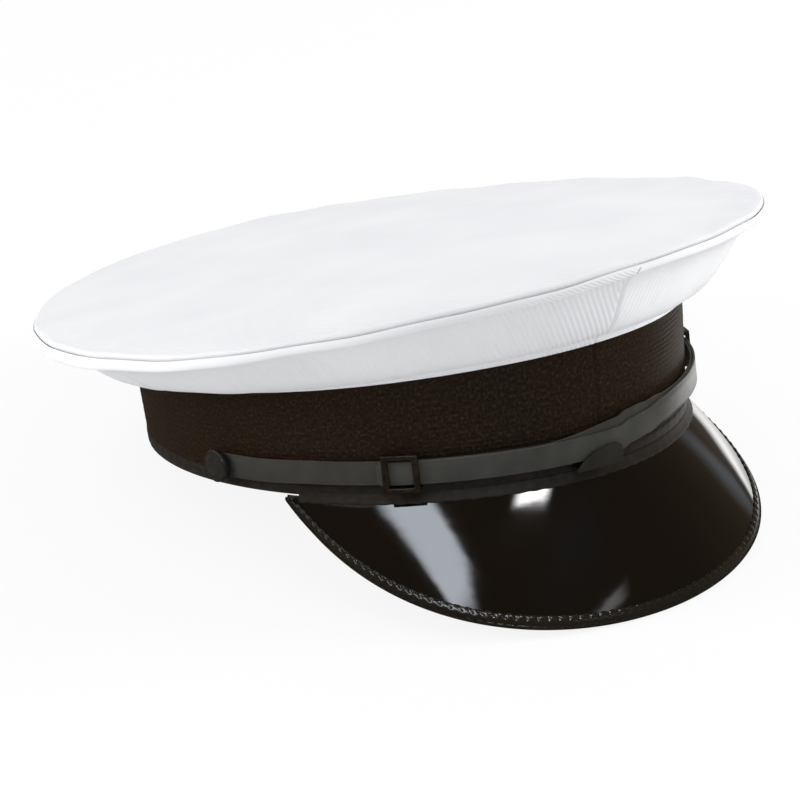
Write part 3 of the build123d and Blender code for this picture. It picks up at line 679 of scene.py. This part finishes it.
def back_tape():
    """Tape over the join at the back of the sweatband, with a small pinch across its middle."""
    levels, across = np.linspace(TAPE_LOW, TAPE_HIGH, 26), np.linspace(-1, 1, 11)
    puff = 0.35 * np.cos(across * np.pi / 2)
    rings = []
    for level in levels:
        half_width = TAPE_HALF_WIDTH - 1.3 * bump_at(level, TAPE_PINCH, 1.6)
        turns = 180 + across * math.degrees(half_width / FRONT_RADIUS)
        front = wall(turns, SWEATBAND_IN - 0.45 - puff + lean_at(level), level)
        back = wall(turns[::-1], SWEATBAND_IN - 0.2 + lean_at(level), level)
        rings.append(np.concatenate([front, back]))
    put(tube("sweatband_join_tape", rings), "frame", TAPE, "lining_tape", "sweatband_tape")


def stay_sleeve():
    """Cloth pocket that holds the foot of the front stay, puffed over it."""
    across = np.linspace(-1, 1, 21)
    turns = across * math.degrees(POCKET_HALF_WIDTH / FRONT_RADIUS)
    rings = []
    for level in np.linspace(POCKET_LOW, POCKET_HIGH, 24):
        puff = 0.25 * np.cos(across * np.pi / 2) - 0.2 * bump_at(level, POCKET_LOW + 1.1, 0.4)
        back = wall(turns, POCKET_BACK, level)
        front = wall(turns[::-1], POCKET_FRONT + puff, level)
        rings.append(np.concatenate([back, front]))
    piece = put(tube("stay_sleeve", rings), "frame", BUCKRAM, "buckram", "stay_pocket")


# --- visor ---
def visor_edge(place):
    """Points of the visor's free edge; place runs from -90 to 90 between its corners."""
    a, corner = np.radians(place), math.radians(VISOR_CORNER)
    corner_x = (BAND_HALF_WIDTH + 1) * math.sin(corner)
    corner_y = -(BAND_HALF_LENGTH + 1) * math.cos(corner)
    widening = (VISOR_HALF_WIDTH - corner_x) / 2 * np.sin(2 * a)
    reach = VISOR_REACH + BAND_HALF_LENGTH + corner_y
    return np.stack([corner_x * np.sin(a) + widening, corner_y - reach * np.cos(a) ** VISOR_REACH_POWER,
                     -VISOR_DROP * np.cos(a) ** VISOR_DROP_POWER], -1)


class VisorSections:
    """Bowed strips of the visor in upright planes, for an array of places along its edge."""

    def __init__(self, place):
        self.root = wall(wall_direction(VISOR_CORNER * place / 90), 0.2, -0.1)
        edge = visor_edge(place)
        level = (edge - self.root)[:, :2]
        run, fall = np.linalg.norm(level, axis=1), edge[:, 2] - self.root[:, 2]
        self.outward = level / run[:, None]
        chord = np.hypot(run, fall)
        rise = VISOR_BULGE * chord
        self.radius = chord ** 2 / (8 * rise) + rise / 2
        self.half_angle = np.arcsin(chord / 2 / self.radius)
        self.mid_angle = np.pi / 2 - np.arctan2(-fall, run)
        depth = self.radius - rise
        self.centre_s = run / 2 - depth * np.cos(self.mid_angle)
        self.centre_z = fall / 2 - depth * np.sin(self.mid_angle)
        self.length = 2 * self.half_angle * self.radius

    def point(self, along, depth):
        """Points (places, samples) a distance along the outer face and a depth below it."""
        angle = (self.mid_angle + self.half_angle)[:, None] - along / self.radius[:, None]
        reach = self.radius[:, None] - depth
        s = self.centre_s[:, None] + reach * np.cos(angle)
        z = self.root[:, 2:] + self.centre_z[:, None] + reach * np.sin(angle)
        flat = self.root[:, None, :2] + self.outward[:, None] * s[..., None]
        return np.concatenate([flat, z[..., None]], -1)


def even_places(step, end):
    """Places spread evenly along the visor's edge, and their distance along it."""
    fine = np.linspace(-end, end, 4001)
    length = np.concatenate([[0], np.cumsum(np.linalg.norm(np.diff(visor_edge(fine), axis=0), axis=1))])
    distance = np.linspace(0, length[-1], int(length[-1] / step))
    return np.interp(distance, length, fine), distance


def visor_sheet(name, top, bottom, material, slot, node, waviness):
    """One layer of the visor, between two depths below its outer face."""
    place, distance = even_places(1.2, 89.2)
    sections = VisorSections(place)
    share = np.linspace(0, 1, 48)
    along = share * (sections.length - 0.5)[:, None]
    wave = waviness * (np.sin(distance[:, None] * 0.11 + along * 0.05)
                       + 0.6 * np.sin(distance[:, None] * 0.23 - along * 0.17 + 1.0)) * np.sin(np.pi * share)
    outer = sections.point(along, top + wave)
    inner = sections.point(along[:, ::-1], bottom + wave[:, ::-1])
    put(tube(name, np.concatenate([outer, inner], 1)), "frame", material, slot, node)


STITCH_PITCH, STITCH_INSET, ROOT_STRIP = 3.6, 3.05, 2.4


def visor_binding():
    """Leather folded over the visor's edge, pulled in at each stitch."""
    total = SHELL + CORE + LINING
    place, distance = even_places(0.42, 89.5)
    sections = VisorSections(place)
    length = sections.length[:, None]
    width = np.minimum(EDGE_BINDING, 0.55 * length)
    stitch = 0.5 + 0.5 * np.cos(2 * np.pi * distance / STITCH_PITCH)[:, None]
    stray = (0.10 * np.sin(distance * 1.9) + 0.08 * np.sin(distance * 4.7 + 1))[:, None]
    start = length - width - 0.12 + 0.25 * stitch + stray
    nose = np.linspace(-0.5, 0.5, 9) * np.pi
    outer_top = np.linspace(0, 1, 12)[:-1]
    top_along = start + (length - start) * outer_top
    dip = stitch ** 3 * np.exp(-((top_along - (length - STITCH_INSET * width / EDGE_BINDING)) / 0.8) ** 2)
    ridge = np.sin(np.pi * np.clip(outer_top * 1.15, 0, 1)) ** 0.5
    top_depth = -0.22 - 0.36 * ridge + 0.28 * dip
    half = total / 2 + 0.5
    nose_along = length + 0.62 * np.cos(nose)
    nose_depth = total / 2 + half * np.sin(nose) + 0 * length
    under_along = length - (length - start) * np.linspace(0, 1, 7)[1:]
    under_depth = total + 0.5 + 0 * under_along
    inside = [(start, total + 0.12), (length - 0.3, total + 0.12), (length - 0.3, -0.12), (start, -0.12)]
    along = np.concatenate([top_along, nose_along, under_along] + [a for a, _ in inside], 1)
    depth = np.concatenate([top_depth, nose_depth, under_depth] + [d + 0 * length for _, d in inside], 1)
    put(tube("visor_rolled_edge", sections.point(along, depth)), "frame", PATENT_EDGE, "patent_binding",
        "visor_edge_binding")


def visor_stitches():
    """Thread stitches that lie in the dips of the visor's rolled edge."""
    place, distance = even_places(0.25, 84.0)
    full, distance_full = even_places(0.25, 89.5)
    offset = np.interp(place[0], full, distance_full)
    centres = np.arange(math.ceil(offset / STITCH_PITCH) + 0.5, (offset + distance[-1]) / STITCH_PITCH)
    turns = np.linspace(0, 2 * np.pi, 8, endpoint=False)
    bars = np.linspace(-1, 1, 9)
    size = 0.30 * np.sqrt(np.maximum(1 - np.abs(bars) ** 3, 0.02))[:, None]
    ids = np.arange(len(bars) * len(turns)).reshape(len(bars), -1)
    sides = [ids[:-1], np.roll(ids[:-1], -1, 1), np.roll(ids[1:], -1, 1), ids[1:]]
    sides = np.stack(sides, -1).reshape(-1, 4)
    verts, faces = [], []
    for centre in centres * STITCH_PITCH - offset:
        local = VisorSections(np.interp(centre + bars * 1.25, distance, place))
        inset = STITCH_INSET * np.minimum(1, 0.55 * local.length / EDGE_BINDING)
        along = (local.length - inset)[:, None] + size * np.cos(turns)
        depth = (0.25 * bars ** 2 - 0.46)[:, None] + 0.8 * size * np.sin(turns)
        faces.extend((sides + len(verts)).tolist() + (ids[[0, -1]] + len(verts)).tolist())
        verts.extend((local.point(along, depth).reshape(-1, 3) * MM).tolist())
    mesh = bpy.data.meshes.new("visor_stitching")
    mesh.from_pydata(verts, [], faces)
    put(finish_mesh("visor_stitching", mesh, 60), "frame", THREAD, "patent_binding")


def visor_root_strip():
    """Narrow strip of binding that covers the join between the visor and the band."""
    place, distance = even_places(0.8, 86.0)
    sections = VisorSections(place)
    width = np.minimum(ROOT_STRIP, 0.5 * sections.length) + 0.12 * np.sin(distance * 0.9)
    share = np.array([0.0, 0.3, 0.6, 0.85, 0.97, 1.0, 1.0, 0.97, 0.5, 0.0])
    depth = np.array([-1.1, -0.85, -0.5, -0.42, -0.3, -0.12, 0.1, 0.2, 0.2, 0.2])
    along = -1.3 + (width[:, None] + 1.3) * share
    put(tube("visor_root_strip", sections.point(along, depth + 0 * along)), "frame", BINDING, "binding")


# --- chin strap ---
def strap_height(direction):
    """Height of the straps' middle line at a wall direction."""
    for (start, low), (end, high) in zip(STRAP_HEIGHTS, STRAP_HEIGHTS[1:]):
        if direction <= end:
            return low + (high - low) * float(smooth((direction - start) / (end - start)))
    return STRAP_HEIGHTS[-1][1]


def inner_height(direction):
    """Height of the inner strap, which rides up over the front."""
    away = abs(direction - INNER_BUMP_MIDDLE) / INNER_BUMP_HALF
    return strap_height(direction) + INNER_BUMP * float(1 - smooth(away))


def strap_piece(name, side, offset, free_end, height, material, node):
    """Strap from its button round the front: rounded tip at the button, softened edges."""
    radius = SIDE_RADIUS + offset
    button = 90 + math.degrees(BUTTON_Y / radius)
    tip = button + math.degrees(STRAP_WIDTH / 2 / radius)
    direction = np.concatenate([np.linspace(tip, button, 14)[:-1] * side,
                                np.linspace(side * button, free_end, 300)])
    gap = np.clip((np.abs(direction) - button) * math.pi / 180 * radius, 0, STRAP_WIDTH / 2 * 0.995)
    gap[14:] = 0
    half = np.sqrt((STRAP_WIDTH / 2) ** 2 - gap ** 2)
    end = np.abs(direction - free_end) * math.pi / 180 * CORNER_RADIUS
    half = half - 1.2 * (1 - np.sqrt(1 - np.clip(1 - end / 1.2, 0, 1) ** 2))
    edge = np.linspace(-0.5, 0.5, 7) * np.pi
    r = STRAP_THICKNESS / 2
    rings = []
    for d, h in zip(direction, half):
        z0, out = height(d), offset + r
        top = [(out + r * math.sin(a), z0 + h - 0.35 + 0.35 * math.cos(a)) for a in edge[::-1]]
        low = [(out + r * math.sin(a), z0 - h + 0.35 - 0.35 * math.cos(a)) for a in edge]
        face = [(out - r, z0 - h * k) for k in (-0.8, -0.4, 0, 0.4, 0.8)]
        groove = [(out + r - 0.10 * (k in (-0.86, 0.86)), z0 + h * k)
                  for k in (-0.93, -0.86, -0.79, -0.3, 0.3, 0.79, 0.86, 0.93)]
        ring = top + face + low + groove
        out_by, level = np.array(ring).T
        rings.append(wall(np.full(len(ring), d), out_by, level))
    return put(tube(name, rings), "chin_strap", material, "strap_leather", node)


# --- buttons ---
def button_piece(side, label):
    """Turned button with a rolled rim and a low dome."""
    start = (STRAP_INNER_OFFSET if side < 0 else STRAP_OUTER_OFFSET) + STRAP_THICKNESS + 0.4
    edge, top, r = start + BUTTON_EDGE, start + BUTTON_EDGE + BUTTON_DOME, BUTTON_RADIUS
    back = [(start + 0.5, 0.02), (start + 0.45, 2.2), (start, 2.6), (start, r - 1.0)]
    rim = [(start + 0.12, r - 0.5), (start + 0.45, r - 0.12), (start + 1.0, r), (start + 1.7, r),
           (edge - 0.35, r - 0.1), (edge - 0.05, r - 0.4), (edge + 0.02, r - 0.75), (edge - 0.12, r - 0.95),
           (edge - 0.05, r - 1.2)]
    dome = [(edge + (top - edge) * (1 - (1 - share) ** 2), 0.02 + (r - 1.4) * (1 - share))
            for share in np.linspace(0, 1, 9)]
    piece = lathe(f"button_{label}_face", back + rim + dome, side)
    put(piece, f"button_{label}", BUTTON, "button_black", f"button_{label}_cap")


# --- build ---
top_panel()
for number, label in enumerate(("front_left", "back_left", "back_right", "front_right")):
    side_panel(label, QUARTER * number - 4)
rim_cord()
hem_ring()
mohair_ring()
base_binding_ring()
sweatband_ring()
reed_ring()
back_tape()
stay_sleeve()
visor_sheet("visor_patent", 0.0, SHELL, PATENT, "patent", "visor_shell", 0.05)
visor_sheet("visor_underside", SHELL + CORE, SHELL + CORE + LINING, UNDERSIDE, "visor_under",
            "visor_lining", 0.0)
visor_binding()
visor_stitches()
visor_root_strip()
# The inner strap wears the darker copy of the leather, painted shade.
strap_piece("strap_inner_leather", -1, STRAP_INNER_OFFSET, STRAP_INNER_END, inner_height, STRAP_INNER_SHADED,
            "strap_inner")
strap_piece("strap_outer_leather", 1, STRAP_OUTER_OFFSET, STRAP_OUTER_END, strap_height, STRAP,
            "strap_outer")
for node in ("slide_left", "slide_right"):
    put(softened(node + "_frame", node, 0.35, 3), node, GUNMETAL, "gunmetal")
put(softened("strap_tab_leather", "strap_rest_tab", 0.3, 3), "frame", TAB, "strap_leather")
button_piece(-1, "right")
button_piece(1, "left")

CAD_MATERIALS = {
    "band_stiffener": BOARD, "crown_collar": BUCKRAM, "front_stay": STEEL, "eyelet_left": EYELET,
    "eyelet_right": EYELET, "visor_core": CORE_BOARD, "grommet_hoop": HOOP, "grommet_ferrule": STEEL,
    "button_left_shank": STEEL, "button_right_shank": STEEL, "button_left_washer": STEEL,
    "button_right_washer": STEEL,
}
for node, paint in CAD_MATERIALS.items():
    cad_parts[node].data.materials.clear()
    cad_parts[node].data.materials.append(paint)

# --- camera ---
CAMERA_AZIMUTH, CAMERA_ELEVATION, CAMERA_ROLL = (math.radians(a) for a in (-37.2, 13.31, -6.59))
CAMERA_DISTANCE, CAMERA_TARGET, FOCAL_PIXELS, PICTURE = 1.50104, Vector((0, 0, 0.06)), 4346.56, 800
AIM_PIXEL = (395.37, 251.08)                # where the target falls in the picture


def make_camera():
    """Camera on its azimuth and elevation, rolled and aimed so that the target falls on its pixel."""
    cos_el = math.cos(CAMERA_ELEVATION)
    back = Vector((math.sin(CAMERA_AZIMUTH) * cos_el, -math.cos(CAMERA_AZIMUTH) * cos_el,
                   math.sin(CAMERA_ELEVATION)))
    forward = -back
    level = forward.cross(Vector((0, 0, 1))).normalized()
    upright = level.cross(forward)
    right = math.cos(CAMERA_ROLL) * level + math.sin(CAMERA_ROLL) * upright
    up = -math.sin(CAMERA_ROLL) * level + math.cos(CAMERA_ROLL) * upright
    aim = (forward + right * ((PICTURE / 2 - AIM_PIXEL[0]) / FOCAL_PIXELS)
           - up * ((PICTURE / 2 - AIM_PIXEL[1]) / FOCAL_PIXELS)).normalized()
    right = (right - aim * right.dot(aim)).normalized()
    up = right.cross(aim)
    data = bpy.data.cameras.new("camera")
    data.sensor_width, data.lens = 36.0, 36.0 * FOCAL_PIXELS / PICTURE
    data.clip_start, data.clip_end = 0.05, 20
    camera = new_object("camera", data)
    turn = Matrix((right, up, -aim)).transposed().to_4x4()
    camera.matrix_world = Matrix.Translation(CAMERA_TARGET + back * CAMERA_DISTANCE) @ turn
    bpy.context.scene.camera = camera
    return camera


camera = make_camera()

# --- floor, lights and backdrop ---
EDGE_BELOW, FLOOR_GAP, FLOOR_RADIUS = 0.9, 0.0002, 1.1
FLOOR_TILT = math.atan2(VISOR_DROP + EDGE_BELOW, 2 * BAND_HALF_LENGTH + VISOR_REACH)
# Bright patch of floor that the far side of the strap mirrors, in the floor's own coordinates, in metres.
POOL_CENTRE, POOL_RADIUS, POOL_STRENGTH = Vector((0.22, -0.14, 0)), 0.18, 3.0
FLOOR_GLOW = 0.88                           # share of plain white in what the camera sees of the floor


def make_floor():
    """Pale table that the cap rests on with its visor's edge and the back of its band."""
    mesh = bpy.data.meshes.new("floor")
    turns = np.linspace(0, 2 * np.pi, 64, endpoint=False)
    ring = [(FLOOR_RADIUS * math.cos(a), FLOOR_RADIUS * math.sin(a), 0) for a in turns]
    mesh.from_pydata(ring, [], [list(range(len(ring)))])
    floor = new_object("floor", mesh)
    floor.matrix_world = (Matrix.Translation((0, BAND_HALF_LENGTH * MM, -FLOOR_GAP))
                          @ Matrix.Rotation(FLOOR_TILT, 4, "X"))
    material = bpy.data.materials.new("floor")
    material.use_nodes = True
    tree = material.node_tree
    node = partial(add_node, tree)
    plain = tree.nodes["Principled BSDF"]
    plain.inputs["Base Color"].default_value = (0.88, 0.88, 0.88, 1)
    plain.inputs["Roughness"].default_value = 0.9
    plain.inputs["Specular IOR Level"].default_value = 0.0
    path = node("LightPath").outputs
    place = node("Mapping", Vector=node("TexCoord").outputs["Object"], Scale=Vector((1, 1, 1)) / POOL_RADIUS,
                 Location=-POOL_CENTRE / POOL_RADIUS)
    pool = node("TexGradient", {"gradient_type": "QUADRATIC_SPHERE"}, Vector=place)
    strength = node("Math", {"operation": "MULTIPLY"}, _0=pool.outputs[1], _1=POOL_STRENGTH)
    dark = node("BsdfDiffuse", Color=(0.10, 0.085, 0.07, 1))
    glow = node("Emission", Strength=strength)
    pooled = node("AddShader", _0=dark, _1=glow)
    share = node("Math", {"operation": "MULTIPLY"}, _0=path["Is Camera Ray"], _1=FLOOR_GLOW)
    lit = node("MixShader", _0=share, _1=plain, _2=node("Emission"))
    mirrored = node("MixShader", _0=path["Is Glossy Ray"], _1=lit, _2=pooled)
    seen = node("MixShader", _0=node("NewGeometry").outputs["Backfacing"], _1=mirrored,
                _2=node("BsdfTransparent"))
    tree.links.new(seen.outputs[0], tree.nodes["Material Output"].inputs["Surface"])
    mesh.materials.append(material)


def make_world():
    """White backdrop to the camera, soft fill to cloth, and a dark studio to polished surfaces."""
    world = bpy.data.worlds.new("studio")
    bpy.context.scene.world = world
    world.use_nodes = True
    tree = world.node_tree
    node = partial(add_node, tree)
    path = node("LightPath").outputs
    fill = node("Background", Color=(0.97, 0.98, 1.0, 1), Strength=0.68)
    mirror = node("Background", Color=(1.0, 0.80, 0.55, 1), Strength=0.12)
    backdrop = node("Background", Color=(1, 1, 1, 1), Strength=1.0)
    unseen = node("MixShader", _0=path["Is Glossy Ray"], _1=fill, _2=mirror)
    seen = node("MixShader", _0=path["Is Camera Ray"], _1=unseen, _2=backdrop)
    tree.links.new(seen.outputs[0], tree.nodes["World Output"].inputs["Surface"])


VISOR_MIDDLE, COOL_WHITE = Vector((0, -0.09, 0)), (0.86, 0.92, 1.0)


def direction_to(azimuth, elevation):
    a, e = math.radians(azimuth), math.radians(elevation)
    return Vector((math.sin(a) * math.cos(e), -math.cos(a) * math.cos(e), math.sin(e)))


def softbox(name, azimuth, elevation, distance, size, power, colour=(1, 1, 1)):
    """Light that shades the cloth and leaves polished surfaces alone."""
    data = bpy.data.lights.new(name, "AREA")
    data.shape, data.size, data.size_y = "RECTANGLE", size[0], size[1]
    data.energy, data.color = power, colour
    light = new_object(name, data)
    light.location = direction_to(azimuth, elevation) * distance
    light.rotation_euler = (-light.location).to_track_quat("-Z", "Y").to_euler()
    light.visible_glossy = light.visible_camera = False


def reflected_card(name, azimuth, elevation, size, strength, roll=0.0, soft=0.25, colour=(1, 1, 1)):
    """Glowing card a metre from the visor that only polished surfaces mirror, fading towards its sides."""
    mesh = bpy.data.meshes.new(name)
    half_x, half_y = size[0] / 2, size[1] / 2
    corners = [(-half_x, -half_y, 0), (half_x, -half_y, 0), (half_x, half_y, 0), (-half_x, half_y, 0)]
    mesh.from_pydata(corners, [], [(0, 1, 2, 3)])
    card = new_object(name, mesh)
    away = direction_to(azimuth, elevation)
    card.matrix_world = (Matrix.Translation(away + VISOR_MIDDLE)
                         @ away.to_track_quat("Z", "Y").to_matrix().to_4x4()
                         @ Matrix.Rotation(math.radians(roll), 4, "Z"))
    material = bpy.data.materials.new(name)
    material.use_nodes = True
    tree = material.node_tree
    tree.nodes.remove(tree.nodes["Principled BSDF"])
    node = partial(add_node, tree)
    axes = node("SeparateXYZ", _0=node("TexCoord").outputs["Generated"])
    fades = []
    for axis in (0, 1):
        from_middle = node("Math", {"operation": "SUBTRACT"}, _0=axes.outputs[axis], _1=0.5)
        distance = node("Math", {"operation": "ABSOLUTE"}, _0=from_middle)
        fades.append(node("MapRange", {"interpolation_type": "SMOOTHSTEP"}, Value=distance,
                          From_Min=0.5, From_Max=0.5 - soft).outputs[0])
    share = node("Math", {"operation": "MULTIPLY"}, _0=fades[0], _1=fades[1])
    glow = node("Emission", Color=(*colour, 1), Strength=strength)
    mix = node("MixShader", _0=share, _1=node("BsdfTransparent"), _2=glow)
    tree.links.new(mix.outputs[0], tree.nodes["Material Output"].inputs["Surface"])
    mesh.materials.append(material)
    card.visible_camera = card.visible_diffuse = card.visible_shadow = card.visible_transmission = False


make_floor()
make_world()
softbox("overhead", -10, 62, 1.6, (1.2, 1.2), 1.48, (0.96, 0.97, 1.0))
softbox("right", 60, 20, 1.4, (0.5, 0.5), 12)
softbox("left", -112, 26, 1.4, (0.5, 0.5), 10.3)
reflected_card("tall_card", -58.3, 48.2, (1.1, 0.15), 9.5, roll=-33, colour=COOL_WHITE)
reflected_card("small_card", -10, 42.8, (0.34, 0.06), 30, roll=-27)
reflected_card("glow_card", 8, 27, (0.7, 0.4), 0.14, roll=-20, soft=0.5)
reflected_card("right_card", 100, 3.2, (0.3, 0.4), 0.42, soft=0.5, colour=COOL_WHITE)
reflected_card("low_card", 14.4, 13.5, (0.45, 0.05), 2.0, soft=0.3)
bpy.context.scene.view_settings.view_transform = "Standard"
